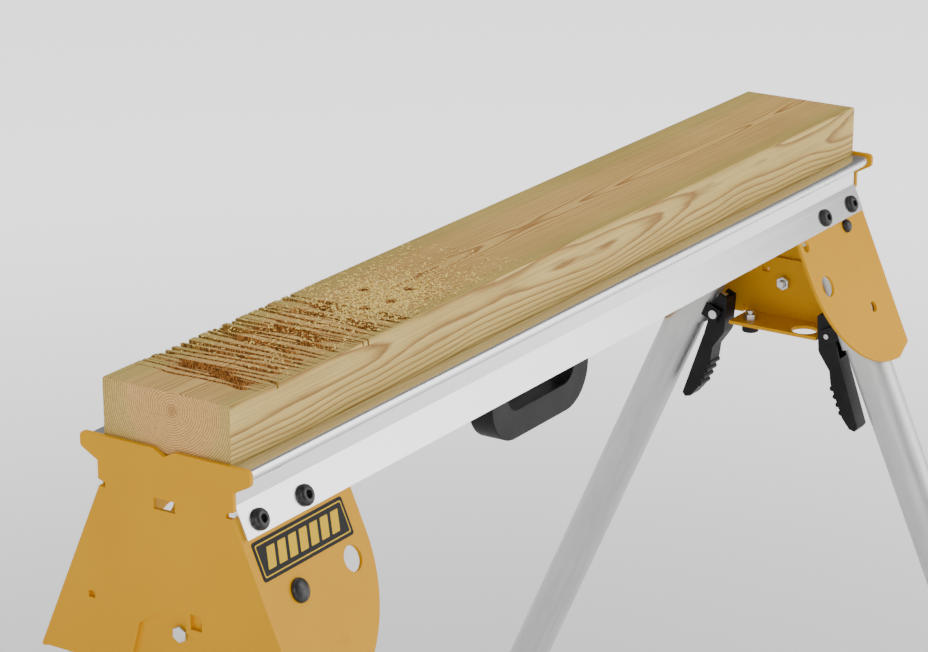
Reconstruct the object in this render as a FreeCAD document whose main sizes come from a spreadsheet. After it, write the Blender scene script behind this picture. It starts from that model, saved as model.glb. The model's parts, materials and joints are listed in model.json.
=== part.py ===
import FreeCAD, Part
import math
import os
import Sketcher

# Folding sawhorse. Frame: +X along the beam, +Z up, origin on the floor below the middle.
# End "a" is at -X and end "b" at +X; side "left" is +Y and side "right" is -Y.
# Every length in the sheet is in millimetres and every angle in degrees.

SIZES = {
    # Overall layout
    "bracket_span": 818.0,       # between the inner faces of the two end plates
    "bead_height": 726.0,        # top line of the beam's beads above the floor
    "face_offset": 36.7,         # wing's outer face from the middle plane, at the bead line
    "lean": 23.7,                # lean of the wings and legs from vertical
    # Beam
    "beam_length": 817.0,
    "deck_drop": 1.6,
    "deck_thick": 3.4,
    "bead_outer": 61.5,
    "bead_depth": 8.0,
    "neck_outer": 50.0,
    "beam_wall": 2.5,
    "neck_depth": 24.0,
    "skirt_depth": 44.2,
    "rib_inset": 10.3,
    "rib_thick": 2.7,
    "rib_depth": 14.0,
    "bead_rounding": 3.6,
    "skirt_hole_radius": 4.4,
    "deck_hole_radius": 3.3,
    "deck_sink_radius": 6.4,
    # End plate
    "plate_thick": 3.0,
    "head_half": 64.0,
    "head_top": 1.6,
    "notch_half": 8.0,
    "notch_bottom": 2.7,
    "plate_bottom": 148.0,
    "shoulder_depth": 31.0,
    "head_rounding": 3.5,
    # Openings of the end plate: left, right, top and bottom of each
    "slot_left": 7.4,
    "slot_right": 8.8,
    "slot_top": 30.0,
    "slot_bottom": 37.3,
    "square_near": 57.0,
    "square_top": 102.5,
    "square_side": 5.0,
    "square_height": 4.5,
    "tab_left": 25.0,
    "tab_right": 16.5,
    "tab_top": 100.0,
    "tab_bottom": 110.0,
    "arch_top": 104.0,
    "arch_half": 33.0,
    # Wings
    "wing_thick": 2.5,
    "wing_top": 34.0,
    "wing_reach": 108.0,
    "wing_straight": 78.6,
    "wing_radius": 90.5,
    "wing_bottom": 161.6,
    "pivot_inset": 30.8,
    "finger_hole_radius": 8.5,
    "finger_hole_reach": 87.2,
    "finger_hole_depth": 82.5,
    "lock_hole_radius": 4.5,
    # Leg pivots: depth below the bead line and lock distance, for each end
    "pivot_depth_a": 83.0,
    "pivot_depth_b": 50.0,
    "lock_reach_a": 56.4,
    "lock_reach_b": 68.0,
    "pivot_head_a": 7.8,
    "pivot_head_b": 5.4,
    # Legs
    "tube_radius": 15.9,
    "tube_wall": 1.5,
    "tube_gap": 0.5,
    "tube_top_a": 14.0,
    "tube_top_b": 8.0,
    "foot_length": 34.0,
    "foot_plug": 28.0,
    "plug_radius": 14.2,
    "plug_depth": 13.0,
    "bolt_radius": 4.0,
    "bolt_hole_radius": 4.06,
    # Lever, its saddle and the lock plunger
    "saddle_wall": 2.5,
    "saddle_top": 10.0,
    "saddle_length": 36.0,
    "ear_gap": 8.4,
    "ear_thick": 3.0,
    "lever_half": 8.0,
    "lever_wall": 2.5,
    "pin_drop": 12.0,
    "pin_height": 43.0,
    "pin_radius": 2.0,
    "pin_bore_radius": 2.06,
    "plunger_radius": 4.0,
    "plunger_bore_radius": 4.06,
    "plunger_tip": 2.9,
    "plunger_head_radius": 5.0,
    "plunger_head_top": 43.5,
    "plunger_head_thick": 2.5,
    "ridge_radius": 2.2,
    "pin_head_radius": 3.6,
    "pin_head_thick": 1.4,
    "spring_radius": 3.2,
    "spring_wire": 0.7,
    "spring_pitch": 1.3,
    "spring_tail": 8.0,
    # Brace, bumper and fasteners
    "brace_thick": 3.0,
    "brace_web_half": 69.0,
    "brace_flange_half": 39.5,
    "brace_flange_reach": 37.0,
    "brace_top": 96.0,
    "bumper_radius": 6.75,
    "bumper_height": 7.0,
    "bumper_offset": 26.0,
    "bumper_head_radius": 4.8,
    "bumper_head_height": 3.0,
    "bumper_sink_radius": 5.2,
    "brace_hole_radius": 10.5,
    "brace_hole_offset": 23.0,
    "flange_feature_reach": 25.0,
    "skirt_screw_near": 16.3,
    "skirt_screw_far": 61.9,
    "skirt_screw_depth": 40.6,
    "screw_head_radius": 7.0,
    "screw_crown_radius": 4.6,
    "screw_rim": 1.6,
    "screw_crown_rise": 2.6,
    "screw_length": 8.2,
    "screw_socket": 2.9,
    "clinch_nut_radius": 5.5,
    "clinch_nut_height": 2.3,
    "thread_radius": 4.05,
    "pivot_crown_rise": 2.8,
    "pivot_nut_corner": 7.5,
    "pivot_nut_height": 6.5,
    "pivot_tail": 9.0,
    "small_bolt_radius": 3.0,
    "small_hole_radius": 3.1,
    "small_nut_corner": 5.8,
    "small_nut_height": 5.0,
    "web_bolt_offset": 7.0,
    "web_bolt_depth": 116.0,
    "web_bolt_length": 12.0,
    "web_head_corner": 5.5,
    "web_head_height": 2.6,
    # Handle
    "handle_length": 129.0,
    "handle_half_width": 10.0,
    "handle_bottom": 109.0,
    "handle_opening": 89.0,
    "handle_bar": 21.0,
    "handle_round": 30.0,
    "handle_screw_offset": 54.0,
    "handle_gap_top": 26.0,
    "handle_gap_round": 14.0,
    "handle_screw_head_radius": 6.0,
    "handle_screw_head_thick": 1.8,
    "handle_screw_length": 22.0,
    # Timber
    "timber_half": 47.5,
    "timber_thick": 39.8,
    "timber_length": 817.0,
    # Label
    "label_length": 92.0,
    "label_height": 25.0,
    "label_centre": 50.0,
    "label_top": 52.0,
    "label_thick": 0.4,
}


class Dim:
    """A number together with the spreadsheet expression that gives it."""

    def __init__(self, value, text=None):
        self.value = float(value)
        self.text = text if text is not None else repr(float(value))

    def joined(self, other, sign, value):
        other = as_dim(other)
        return Dim(value(self.value, other.value), "(%s %s %s)" % (self.text, sign, other.text))

    def __add__(self, other):
        return self.joined(other, "+", lambda p, q: p + q)

    def __sub__(self, other):
        return self.joined(other, "-", lambda p, q: p - q)

    def __mul__(self, other):
        return self.joined(other, "*", lambda p, q: p * q)

    def __truediv__(self, other):
        return self.joined(other, "/", lambda p, q: p / q)

    def __neg__(self):
        return Dim(-self.value, "(0 - %s)" % self.text)

    def __radd__(self, other):
        return as_dim(other) + self

    def __rsub__(self, other):
        return as_dim(other) - self

    def __rmul__(self, other):
        return as_dim(other) * self


def as_dim(value):
    return value if isinstance(value, Dim) else Dim(value)


doc = FreeCAD.newDocument("folding_sawhorse")
sheet = doc.addObject("Spreadsheet::Sheet", "sizes")
for row, (alias, value) in enumerate(SIZES.items(), start=1):
    sheet.set("A%d" % row, alias)
    sheet.set("B%d" % row, str(value))
    sheet.setAlias("B%d" % row, alias)
doc.recompute()


def size(alias):
    """The named cell as a number that remembers its expression."""
    return Dim(getattr(sheet, alias), "sizes." + alias)


LEAN_COS = Dim(math.cos(math.radians(sheet.lean)), "cos(sizes.lean * 1 deg)")
LEAN_SIN = Dim(math.sin(math.radians(sheet.lean)), "sin(sizes.lean * 1 deg)")
LEAN_TAN = Dim(math.tan(math.radians(sheet.lean)), "tan(sizes.lean * 1 deg)")
HALF_SPAN = size("bracket_span") / 2
BEAD = size("bead_height")
AXIS_INSET = size("wing_thick") + size("tube_gap") + size("tube_radius")
ENDS = ("a", "b")
SIDES = ("left", "right")
THROUGH = 60                         # length of the tools that cut right through a piece
finished = []


# ---- small tools -----------------------------------------------------------------------

def bind(item, **values):
    """Bind properties of an object to spreadsheet expressions."""
    for name, value in values.items():
        item.setExpression(name, as_dim(value).text)
    return item


def spot(x, y, z, *turns):
    """Placement expression: a position, then turns about X, Y or Z applied last to first."""
    where = "vector(%s; %s; %s)" % (as_dim(x).text, as_dim(y).text, as_dim(z).text)
    axes = {"x": "vector(1; 0; 0)", "y": "vector(0; 1; 0)", "z": "vector(0; 0; 1)"}
    steps = ["rotation(%s; %s * 1 deg)" % (axes[axis], as_dim(angle).text) for axis, angle in turns]
    turn = " * ".join(steps) if steps else "rotation(vector(0; 0; 1); 0 deg)"
    return "placement(%s; %s)" % (where, turn)


def put(item, place):
    item.setExpression("Placement", place)
    return item


def box(name, x, y, z, length, width, height, *turns):
    item = doc.addObject("Part::Box", name)
    bind(item, Length=length, Width=width, Height=height)
    return put(item, spot(x, y, z, *turns))


def cylinder(name, radius, height, x=0, y=0, z=0, *turns):
    item = doc.addObject("Part::Cylinder", name)
    bind(item, Radius=radius, Height=height)
    return put(item, spot(x, y, z, *turns))


def cross_bore(name, radius, down=0):
    """Tool for a bore square to the wing, from just outside it, in a leaning frame."""
    return cylinder(name, radius, THROUGH, 0, 5, -as_dim(down), ("x", 90))


def cone(name, low, high, height, x, y, z, *turns):
    item = doc.addObject("Part::Cone", name)
    bind(item, Radius1=low, Radius2=high, Height=height)
    return put(item, spot(x, y, z, *turns))


def prism(name, corner_radius, height, x, y, z, *turns):
    item = doc.addObject("Part::Prism", name)
    bind(item, Circumradius=corner_radius, Height=height)
    item.Polygon = 6
    return put(item, spot(x, y, z, *turns))


def fuse(name, *pieces):
    item = doc.addObject("Part::MultiFuse", name)
    item.Shapes = list(pieces)
    return item


def group(name, pieces):
    item = doc.addObject("Part::Compound", name)
    item.Links = list(pieces)
    return item


def cut(name, base, *tools):
    item = doc.addObject("Part::Cut", name)
    item.Base = base
    item.Tool = tools[0] if len(tools) == 1 else fuse(name + "_tools", *tools)
    return item


def finish(item, label, place=None):
    """Name a finished piece and place it in the sawhorse's frame."""
    if place is not None:
        put(item, place)
    item.Label = label
    finished.append(item)
    return item


def sketch(body, name, plane, points, arcs=()):
    """Closed outline on a body's origin plane. arcs maps an edge's number to radius and centre."""
    item = body.newObject("Sketcher::SketchObject", name)
    support = [part for part in body.Origin.OriginFeatures if part.Role == plane][0]
    item.AttachmentSupport = [(support, "")]
    item.MapMode = "FlatFace"
    points = [(as_dim(x), as_dim(y)) for x, y in points]
    flat = [FreeCAD.Vector(x.value, y.value, 0) for x, y in points]
    count = len(points)
    arcs = dict(arcs)
    starts = []
    for index in range(count):
        start = flat[index]
        end = flat[(index + 1) % count]
        if index not in arcs:
            item.addGeometry(Part.LineSegment(start, end), False)
            starts.append((1, 2))
            continue
        radius, centre_x, centre_y, clockwise = arcs[index]
        centre = FreeCAD.Vector(as_dim(centre_x).value, as_dim(centre_y).value, 0)
        circle = Part.Circle(centre, FreeCAD.Vector(0, 0, 1), as_dim(radius).value)
        first = math.atan2(start.y - centre.y, start.x - centre.x)
        last = math.atan2(end.y - centre.y, end.x - centre.x)
        if clockwise:
            first, last = last, first
        item.addGeometry(Part.ArcOfCircle(circle, first, last), False)
        starts.append((2, 1) if clockwise else (1, 2))
    for index in range(count):
        following = (index + 1) % count
        joint = Sketcher.Constraint("Coincident", index, starts[index][1], following, starts[following][0])
        item.addConstraint(joint)
    for index, (x, y) in enumerate(points):
        pin_coordinate(item, index, starts[index][0], "DistanceX", x, -2)
        pin_coordinate(item, index, starts[index][0], "DistanceY", y, -1)
    for index, (radius, centre_x, centre_y, clockwise) in arcs.items():
        number = item.addConstraint(Sketcher.Constraint("Radius", index, as_dim(radius).value))
        item.setExpression("Constraints[%d]" % number, as_dim(radius).text)
    return item


def pin_coordinate(item, edge, end, kind, value, axis):
    """Fix one coordinate of an outline's corner, on the axis when it is zero."""
    if value.value == 0:
        item.addConstraint(Sketcher.Constraint("PointOnObject", edge, end, axis))
        return
    number = item.addConstraint(Sketcher.Constraint(kind, -1, 1, edge, end, value.value))
    item.setExpression("Constraints[%d]" % number, value.text)


def pad(body, profile, length, middle=False, back=False):
    item = body.newObject("PartDesign::Pad", profile.Name + "_pad")
    item.Profile = profile
    bind(item, Length=length)
    item.Midplane = middle
    item.Reversed = back
    return item


def pocket(body, profile):
    item = body.newObject("PartDesign::Pocket", profile.Name + "_pocket")
    item.Profile = profile
    item.Type = "ThroughAll"
    item.Midplane = True
    return item


def mirrored_outline(half):
    """Outline symmetric about x = 0, from its right half listed top to bottom."""
    half = [(as_dim(x), as_dim(y)) for x, y in half]
    return half + [(-x, y) for x, y in reversed(half) if x.value != 0]


def edges_along(shape, direction, spots):
    """Names of straight edges along a direction that pass near the given points."""
    names = []
    for number, edge in enumerate(shape.Edges, start=1):
        if edge.Curve.TypeId != "Part::GeomLine":
            continue
        if abs(abs(edge.tangentAt(edge.FirstParameter).dot(direction)) - 1) > 1e-6:
            continue
        middle = edge.CenterOfMass
        flat = middle - direction * middle.dot(direction)
        if any((flat - spot_at).Length < 0.05 for spot_at in spots):
            names.append("Edge%d" % number)
    return names


def round_corners(body, feature, direction, spots, radius, name):
    """Fillet the edges of a pad that run along a direction through the given points."""
    doc.recompute()
    flat = [FreeCAD.Vector(*[as_dim(value).value for value in place]) for place in spots]
    names = edges_along(feature.Shape, direction, flat)
    item = body.newObject("PartDesign::Fillet", name)
    item.Base = (feature, names)
    bind(item, Radius=radius)
    return item


# ---- frames that the slanted pieces are drawn in ---------------------------------------

def side_turns(side):
    """Turns that lay a leaning frame on the left or the right side."""
    lean = ("x", size("lean"))
    return (lean,) if side == "left" else (("z", 180), lean)


def lean_place(end, side, inset, depth, down=0):
    """Frame on a wing's outer face: local Y points out of the wing and local Z up along it.

    inset is measured from the end plate, depth is vertical below the bead line,
    and down is a further distance along the wing.
    """
    toward = 1 if end == "b" else -1
    across = 1 if side == "left" else -1
    x = (HALF_SPAN - inset) * toward
    y = (size("face_offset") + depth * LEAN_TAN + as_dim(down) * LEAN_SIN) * across
    z = BEAD - depth - as_dim(down) * LEAN_COS
    return spot(x, y, z, *side_turns(side))


def end_place(end):
    """Frame of an end bracket: X = 0 on the plate's inner face, +X toward the middle."""
    if end == "a":
        return spot(-HALF_SPAN, 0, BEAD)
    return spot(HALF_SPAN, 0, BEAD, ("z", 180))


def face_at(depth, outward=0):
    """Half width of the wing's outer face at a depth, moved out square to the wing."""
    return size("face_offset") + as_dim(depth) * LEAN_TAN + as_dim(outward) / LEAN_COS


# ---- beam --------------------------------------------------------------------------------

def make_beam():
    """Aluminium extrusion: flat deck, bead along each top edge, neck and flared skirt."""
    deck = -size("deck_drop")
    under = deck - size("deck_thick")
    wall = size("beam_wall")
    neck = size("neck_outer")
    flare = size("neck_depth")
    rib = size("rib_inset")
    half = [
        (size("timber_half") + 0.8, deck),
        (size("timber_half") + 1.3, 0),
        (size("bead_outer"), 0),
        (size("bead_outer"), -size("bead_depth")),
        (neck + 1.5, -size("bead_depth")),
        (neck, -size("bead_depth") - 2),
        (neck, -flare + 1),
        (face_at(flare, wall), -flare),
        (face_at(size("skirt_depth"), wall), -size("skirt_depth")),
        (face_at(size("skirt_depth")), -size("skirt_depth")),
        (face_at(flare + 1), -flare - 1),
        (neck - wall - 1, -flare + 3),
        (neck - wall - 1, under - 2),
        (neck - wall - 3, under),
        (rib + size("rib_thick"), under),
        (rib + size("rib_thick"), -size("rib_depth")),
        (rib, -size("rib_depth")),
        (rib, under),
    ]
    body = doc.addObject("PartDesign::Body", "beam_body")
    outline = sketch(body, "beam_section", "YZ_Plane", mirrored_outline(half))
    extrusion = pad(body, outline, size("beam_length"), middle=True)
    along = FreeCAD.Vector(1, 0, 0)
    corners = []
    for sign in (1, -1):
        corners.append((0, size("bead_outer") * sign, 0))
        corners.append((0, size("bead_outer") * sign, -size("bead_depth")))
    round_corners(body, extrusion, along, corners, size("bead_rounding"), "bead_rounding")
    blank = put(body, spot(0, 0, BEAD))
    holes = []
    for end in ENDS:
        for side in SIDES:
            for inset in (size("skirt_screw_near"), size("skirt_screw_far")):
                name = "beam_hole_%s_%s_%d" % (end, side, len(holes))
                carrier = group(name + "_at", [cross_bore(name, size("skirt_hole_radius"))])
                holes.append(put(carrier, lean_place(end, side, inset, 0, size("skirt_screw_depth"))))
    for sign in (1, -1):
        x = size("handle_screw_offset") * sign
        z = BEAD - size("deck_drop") - size("deck_thick") - 1
        holes.append(cylinder("deck_hole_%d" % len(holes), size("deck_hole_radius"), 6, x, 0, z))
        holes.append(cylinder("deck_sink_%d" % len(holes), size("deck_sink_radius"), 6, x, 0, z + 2.2))
    finish(cut("beam_extrusion", blank, *holes), "beam_extrusion")


# ---- end brackets ------------------------------------------------------------------------

def window(left, right, top, bottom):
    """Corners of a rectangular opening, clockwise from its upper left."""
    return [(left, top), (right, top), (right, bottom), (left, bottom)]


def plate_body(end):
    """End plate: T-shaped head over the beam's end, then a trapezoid with slots and an arch."""
    bottom = size("plate_bottom")
    shoulder = size("shoulder_depth")
    head = size("head_half")
    top = size("head_top")
    neck = size("neck_outer") + 1
    half = [
        (0, -size("notch_bottom")),
        (size("notch_half"), top),
        (head, top),
        (head, -size("bead_depth")),
        (neck + 5.5, -size("bead_depth") - 4),
        (neck, -size("bead_depth") - 7),
        (neck, -shoulder + 4),
        (neck - 5.5, -shoulder + 2.5),
        (neck - 5.5, -shoulder - 0.5),
        (face_at(shoulder + 0.5), -shoulder - 0.5),
        (face_at(bottom), -bottom),
    ]
    body = doc.addObject("PartDesign::Body", "plate_body_" + end)
    outline = sketch(body, "plate_outline_" + end, "YZ_Plane", mirrored_outline(half))
    blank = pad(body, outline, size("plate_thick"), back=True)
    corners = [(0, across, height) for across in (head, -head) for height in (top, -size("bead_depth"))]
    round_corners(body, blank, FreeCAD.Vector(1, 0, 0), corners, size("head_rounding"),
                  "head_rounding_" + end)
    arch = -size("arch_top")
    arch_half = size("arch_half")
    openings = {
        "slot": window(-size("slot_left"), size("slot_right"), -size("slot_top"), -size("slot_bottom")),
        "square": window(size("square_near"), size("square_near") + size("square_side"),
                         -size("square_top"), -size("square_top") - size("square_height")),
        "tab_slot": window(-size("tab_left"), -size("tab_right"), -size("tab_top"), -size("tab_bottom")),
        "arch": [
            (-13, arch),
            (7, arch),
            (23, arch - 11),
            (arch_half, -bottom - 5),
            (-arch_half, -bottom - 5),
            (-27, arch - 16),
            (-13, arch - 9),
        ],
    }
    for name, points in openings.items():
        doc.recompute()
        pocket(body, sketch(body, "%s_%s" % (name, end), "YZ_Plane", points))
    return body


def wing_body(end, side):
    """Wing of the bracket in its leaning frame, whose origin is at the bead line."""
    reach = size("wing_reach")
    edge = -size("plate_thick")
    straight = size("wing_straight")
    radius = size("wing_radius")
    middle = reach - radius
    points = [
        (edge, -size("wing_top")),
        (edge, -size("wing_bottom")),
        (middle, -straight - radius),
        (reach, -straight),
        (reach, -size("wing_top") - 6),
        (reach - 6, -size("wing_top")),
    ]
    if side == "right":
        points = [(-x if isinstance(x, Dim) else as_dim(-x), y) for x, y in points]
        arc = {2: (radius, -middle, -straight, True)}
    else:
        arc = {2: (radius, middle, -straight, False)}
    name = "wing_%s_%s" % (end, side)
    body = doc.addObject("PartDesign::Body", name + "_body")
    pad(body, sketch(body, name + "_outline", "XZ_Plane", points, arc), size("wing_thick"))
    doc.recompute()
    if body.Shape.BoundBox.YMax > 0.5:
        body.Tip.Reversed = True
    return body


def wing_hole(name, radius, along, down, side):
    along = as_dim(along) if side == "left" else -as_dim(along)
    return cylinder(name, radius, 20, along, -10, -as_dim(down), ("x", -90))


def make_bracket(end):
    """Pressed steel bracket: the end plate with a wing folded back along each slanted side."""
    sides = []
    pivot_down = size("pivot_depth_" + end) / LEAN_COS
    for side in SIDES:
        name = "wing_%s_%s" % (end, side)
        pivot = size("pivot_inset")
        lock = size("lock_reach_" + end)
        holes = [
            wing_hole(name + "_pivot", size("bolt_hole_radius") + 0.2, pivot, pivot_down, side),
            wing_hole(name + "_lock", size("lock_hole_radius"), pivot, pivot_down + lock, side),
            wing_hole(name + "_finger", size("finger_hole_radius"), size("finger_hole_reach"),
                      size("finger_hole_depth") / LEAN_COS, side),
        ]
        for spot_name in ("skirt_screw_near", "skirt_screw_far"):
            holes.append(wing_hole("%s_%s" % (name, spot_name), size("skirt_hole_radius"), size(spot_name),
                                   size("skirt_screw_depth"), side))
        if end == "b":
            stow = pivot + lock
            holes.append(wing_hole(name + "_stow", size("lock_hole_radius"), stow, pivot_down, side))
        across = 1 if side == "left" else -1
        wing = cut(name, wing_body(end, side), *holes)
        sides.append(put(wing, spot(0, size("face_offset") * across, 0, *side_turns(side))))
    bracket = fuse("end_bracket_" + end, plate_body(end), *sides)
    finish(bracket, "end_bracket_" + end, end_place(end))


def make_brace(end):
    """Inner brace: a web against the end plate and a flange folded in at its bottom."""
    web_half = size("brace_web_half")
    thick = size("brace_thick")
    bottom = size("plate_bottom")
    top = size("brace_top")
    reach = size("brace_flange_reach")
    knee = top + 22
    half = [(46, -top), (face_at(top, -4.5), -top), (face_at(knee, -4.5), -knee), (web_half, -bottom)]
    points = [(x, y) for x, y in half] + [(-as_dim(x), y) for x, y in reversed(half)]
    body = doc.addObject("PartDesign::Body", "brace_web_%s_body" % end)
    pad(body, sketch(body, "brace_web_%s_outline" % end, "YZ_Plane", points), thick)
    flange_half = size("brace_flange_half")
    flange = box("brace_flange_" + end, 0, -flange_half, -bottom, reach, flange_half * 2, thick)
    holes = []
    for sign in (1, -1):
        corner = flange_half if sign > 0 else -flange_half - 5
        holes.append(box("brace_relief_%s_%d" % (end, len(holes)), -1, corner, -bottom - 1, 6, 5, 8))
    near = size("flange_feature_reach")
    offset = size("brace_hole_offset")
    holes.append(cylinder("brace_hole_" + end, size("brace_hole_radius"), 12, near, offset, -bottom - 3))
    holes.append(cylinder("bumper_hole_" + end, size("small_hole_radius"), 12, near, -size("bumper_offset"),
                          -bottom - 3))
    holes.append(cylinder("web_hole_" + end, size("small_hole_radius"), 12, -3, -size("web_bolt_offset"),
                          -size("web_bolt_depth"), ("y", 90)))
    holes.append(box("web_slot_left_" + end, -3, -28, -110, 12, 6, 4))
    holes.append(box("web_slot_right_" + end, -3, 15, -103.5, 12, 8, 4))
    blank = fuse("brace_blank_" + end, body, flange)
    finish(cut("inner_brace_" + end, blank, *holes), "inner_brace_" + end, end_place(end))


def make_bumper(end):
    """Rubber bumper under the brace's flange, held by a sunk bolt and a nut; a second bolt on the web."""
    low = -size("plate_bottom")
    foot = low - size("bumper_height")
    near = size("flange_feature_reach")
    offset = -size("bumper_offset")
    loose = size("small_hole_radius")
    head = size("bumper_head_height")
    blank = cylinder("bumper_blank_" + end, size("bumper_radius"), size("bumper_height"), near, offset, foot)
    bore = cylinder("bumper_bore_" + end, loose, 20, near, offset, foot - 5)
    sink = cylinder("bumper_sink_" + end, size("bumper_sink_radius"), head + 1, near, offset, foot - 0.5)
    finish(cut("rubber_bumper_" + end, blank, bore, sink), "rubber_bumper_" + end, end_place(end))
    seat = foot + head + 0.5
    nut = size("small_nut_corner")
    nut_height = size("small_nut_height")
    over = low + size("brace_thick")
    shank = size("small_bolt_radius")
    web_head = size("web_head_height")
    aside = -size("web_bolt_offset")
    down = -size("web_bolt_depth")
    stud = over + nut_height + 3 - seat
    wide = size("bumper_head_radius")
    upright = fuse("bumper_bolt_" + end,
                   cylinder("bumper_bolt_shank_" + end, shank, stud, near, offset, seat),
                   cylinder("bumper_bolt_head_" + end, wide, head, near, offset, seat - head))
    level = fuse("web_bolt_" + end,
                 cylinder("web_bolt_shank_" + end, shank, size("web_bolt_length"), 0, aside, down, ("y", 90)),
                 prism("web_bolt_head_" + end, size("web_head_corner"), web_head, -web_head, aside, down,
                       ("y", 90)))
    finish(group("brace_bolts_" + end, [upright, level]), "brace_bolts_" + end, end_place(end))
    first = prism("bumper_nut_blank_" + end, nut, nut_height, near, offset, over)
    second = prism("web_nut_blank_" + end, nut, nut_height, size("brace_thick"), aside, down, ("y", 90))
    first_bore = cylinder("bumper_nut_bore_" + end, loose, 20, near, offset, over - 5)
    second_bore = cylinder("web_nut_bore_" + end, loose, 20, -5, aside, down, ("y", 90))
    nuts = [cut("bumper_nut_" + end, first, first_bore), cut("web_nut_" + end, second, second_bore)]
    finish(group("brace_nuts_" + end, nuts), "brace_nuts_" + end, end_place(end))


# ---- fasteners on the wings ----------------------------------------------------------------

def make_skirt_screws(end):
    """Button-head hex screws through skirt and wing into round clinch nuts inside the wing."""
    screws = []
    nuts = []
    wall = size("beam_wall")
    head = size("screw_head_radius")
    crown = size("screw_crown_radius")
    rim = size("screw_rim")
    for side in SIDES:
        for inset in (size("skirt_screw_near"), size("skirt_screw_far")):
            name = "skirt_screw_%s_%d" % (end, len(screws))
            low = cylinder(name + "_rim", head, rim, 0, wall, 0, ("x", -90))
            dome = cone(name + "_dome", head, crown, size("screw_crown_rise"), 0, wall + rim, 0, ("x", -90))
            shank = cylinder(name + "_shank", size("bolt_radius"), size("screw_length"), 0, wall + 0.5,
                             0, ("x", 90))
            socket = prism(name + "_socket", size("screw_socket"), 4, 0, wall + 2, 0, ("x", -90))
            place = lean_place(end, side, inset, 0, size("skirt_screw_depth"))
            screws.append(put(cut(name, fuse(name + "_solid", low, dome, shank), socket), place))
            ring = cylinder(name + "_nut_rim", size("clinch_nut_radius"), size("clinch_nut_height"), 0,
                            -size("wing_thick"), 0, ("x", 90))
            bore = cross_bore(name + "_nut_bore", size("thread_radius"))
            nuts.append(put(cut(name + "_nut", ring, bore), place))
    finish(group("skirt_screws_" + end, screws), "skirt_screws_" + end)
    finish(group("clinch_nuts_" + end, nuts), "clinch_nuts_" + end)


def make_pivot_bolts(end):
    """Dome-headed pivot bolt through each wing and leg tube, with a nut on the inner side."""
    bolts = []
    nuts = []
    inner = AXIS_INSET + size("tube_radius") + 0.5
    for side in SIDES:
        name = "pivot_bolt_%s_%s" % (end, side)
        head = size("pivot_head_" + end)
        seat = size("screw_rim")
        rim = cylinder(name + "_rim", head, seat, 0, 0, 0, ("x", -90))
        dome = cone(name + "_dome", head, head * 0.64, size("pivot_crown_rise"), 0, seat, 0, ("x", -90))
        shank = cylinder(name + "_shank", size("bolt_radius"), inner + size("pivot_tail"), 0, 0.5, 0,
                         ("x", 90))
        place = lean_place(end, side, size("pivot_inset"), size("pivot_depth_" + end))
        bolts.append(put(fuse(name, rim, dome, shank), place))
        blank = prism(name + "_nut_blank", size("pivot_nut_corner"), size("pivot_nut_height"), 0,
                      -inner, 0, ("x", 90))
        bore = cross_bore(name + "_nut_bore", size("thread_radius"))
        nuts.append(put(cut(name + "_nut", blank, bore), place))
    finish(group("pivot_bolts_" + end, bolts), "pivot_bolts_" + end)
    finish(group("pivot_nuts_" + end, nuts), "pivot_nuts_" + end)


def make_labels():
    """Thin printed plates on the outside of one bracket's wings, below the skirt."""
    plates = []
    for end, side in (("a", "right"), ("a", "left")):
        name = "label_%s_%s" % (end, side)
        plate = box(name, -size("label_length") / 2, 0, -size("label_height"), size("label_length"),
                    size("label_thick"), size("label_height"))
        place = lean_place(end, side, size("label_centre"), 0, size("label_top"))
        plates.append(put(group(name + "_at", [plate]), place))
    finish(group("label_plates", plates), "label_plates")


# ---- legs ----------------------------------------------------------------------------------

def leg_reach(end):
    """Distance from a leg's pivot to the floor along the tube."""
    return (BEAD - size("pivot_depth_" + end) - AXIS_INSET * LEAN_SIN) / LEAN_COS


def make_leg(end, side):
    """Tube, rubber foot and top plug of one leg, drawn about its pivot."""
    name = "%s_%s" % (end, side)
    place = lean_place(end, side, size("pivot_inset"), size("pivot_depth_" + end))
    radius = size("tube_radius")
    inside = radius - size("tube_wall")
    reach = leg_reach(end)
    top = size("tube_top_" + end)
    lock = size("lock_reach_" + end)
    length = reach - size("foot_length") + top
    low = top - length
    outer = cylinder("tube_outer_" + name, radius, length, 0, -AXIS_INSET, low)
    inner = cylinder("tube_inner_" + name, inside, length + 4, 0, -AXIS_INSET, low - 2)
    pivot = cross_bore("tube_pivot_" + name, size("bolt_hole_radius") + 0.3)
    lock_hole = cross_bore("tube_lock_" + name, size("plunger_bore_radius"), lock)
    finish(cut("leg_tube_" + name, outer, inner, pivot, lock_hole), "leg_tube_" + name, place)

    plug = cylinder("plug_shank_" + name, size("plug_radius"), top + size("plug_depth"), 0, -AXIS_INSET,
                    -size("plug_depth"))
    cap = cylinder("plug_cap_" + name, radius, 1.5, 0, -AXIS_INSET, top)
    blank = fuse("plug_blank_" + name, plug, cap)
    bore = cross_bore("plug_bore_" + name, size("bolt_hole_radius"))
    finish(cut("top_plug_" + name, blank, bore), "top_plug_" + name, place)

    boot = cylinder("foot_boot_" + name, radius, size("foot_length") + 20, 0, -AXIS_INSET, -reach - 20)
    shank = cylinder("foot_shank_" + name, size("plug_radius"), size("foot_plug") + 2, 0, -AXIS_INSET,
                     low - 2)
    floor = box("foot_floor_" + name, -50, -50, -60, 100, 100, 60)
    floor_at = group("foot_floor_at_" + name, [floor])
    put(floor_at, spot(0, -AXIS_INSET, -reach, ("x", -size("lean"))))
    blank = fuse("foot_blank_" + name, boot, shank)
    finish(cut("rubber_foot_" + name, blank, floor_at), "rubber_foot_" + name, place)


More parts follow.
